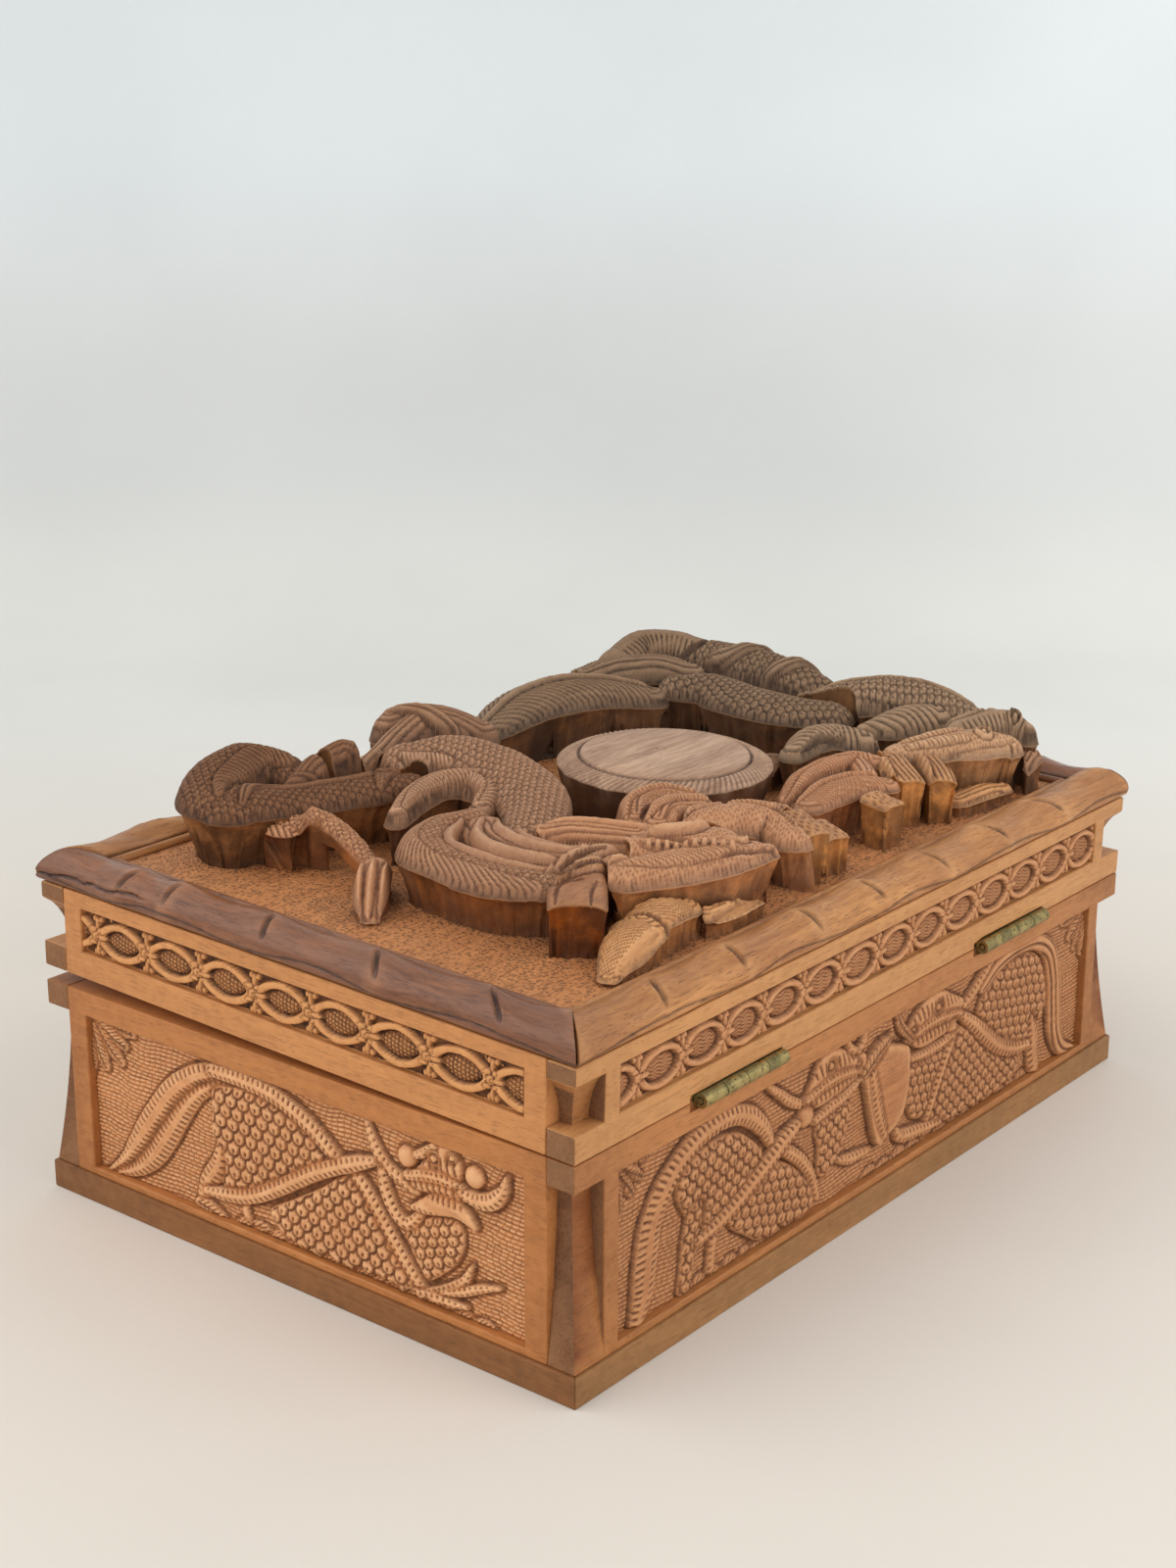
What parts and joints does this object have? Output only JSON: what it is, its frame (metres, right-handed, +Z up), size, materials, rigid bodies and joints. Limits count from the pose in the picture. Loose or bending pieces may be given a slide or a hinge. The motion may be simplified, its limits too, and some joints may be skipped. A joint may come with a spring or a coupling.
{
  "type": "carved wooden box",
  "caption": "Rectangular hinged-lid box in carved wood, with dragons in high relief around a round boss, a bamboo border, chain friezes and sunk side panels.",
  "frame": {"origin": "centre of the plinth's underside, on the surface the box stands on", "axes": "+X along the box towards the short end seen at the left of the picture, +Y towards the hinge side, +Z up"},
  "size_m": [0.28, 0.1995, 0.128],
  "materials": {
    "plinth_wood": "dull worn brown",
    "board_wood": "satin oil",
    "rail_wood": "satin oil, golden",
    "ground_wood": "matt punched ground",
    "bamboo_tan": "satin",
    "bamboo_dark": "glossy dark varnish",
    "relief_brown": "worn, rubbed pale on the tops",
    "relief_red": "satin oil, reddish",
    "relief_grey": "matt grey-brown",
    "relief_ochre": "satin, ochre",
    "relief_dark": "dark varnish",
    "hinge_brass": "aged brass with a green tinge"
  },
  "bodies": {
    "base": {"plinth_front": "plinth_wood", "plinth_back": "plinth_wood", "plinth_left": "plinth_wood", "plinth_right": "plinth_wood", "bottom_board": "plinth_wood", "front_wall": "board_wood", "back_wall": "board_wood", "left_wall": "board_wood", "right_wall": "board_wood", "hinge_a_lower_leaf": "hinge_brass", "hinge_b_lower_leaf": "hinge_brass", "hinge_a_pin": "hinge_brass", "hinge_b_pin": "hinge_brass"},
    "lid": {"lid_front_board": "rail_wood", "lid_back_board": "rail_wood", "lid_left_board": "rail_wood", "lid_right_board": "rail_wood", "lid_top_board": "ground_wood", "bamboo_front": "bamboo_tan", "bamboo_back": "bamboo_tan", "bamboo_left": "bamboo_dark", "bamboo_right": "bamboo_dark", "hinge_a_upper_leaf": "hinge_brass", "hinge_b_upper_leaf": "hinge_brass", "disc": "relief_red", "near_tail_coil": "relief_brown", "near_front_leg": "relief_red", "near_fin": "relief_brown", "ground_claw": "relief_red", "near_arch": "relief_brown", "stalk_leaf": "relief_brown", "near_sweep": "relief_red", "near_shoulder": "relief_red", "near_crest": "relief_dark", "near_head": "relief_red", "near_mane": "relief_red", "near_cheek": "relief_red", "beard_slab_a": "relief_ochre", "beard_slab_b": "relief_ochre", "leaf_pair": "relief_ochre", "leaf_small": "relief_ochre", "wing_leaf": "relief_grey", "rear_arch": "relief_grey", "far_body": "relief_grey", "scaly_body": "relief_grey", "right_arch": "relief_grey", "ribbed_fan": "relief_grey", "rear_head": "relief_grey", "right_head": "relief_red", "right_lobe": "relief_ochre", "low_leaf": "relief_brown", "ear_lump": "relief_grey", "claw_arc": "relief_red", "claw_slab_a": "relief_ochre", "claw_slab_b": "relief_ochre", "claw_slab_c": "relief_ochre", "leaf_by_disc": "relief_brown"}
  },
  "joints": [
    {"name": "lid_hinge", "type": "hinge", "parent": "base", "child": "lid", "pos_m": [0, 0.0986, 0.0654], "axis": [-1, 0, 0], "range_deg": [0, 110]}
  ]
}
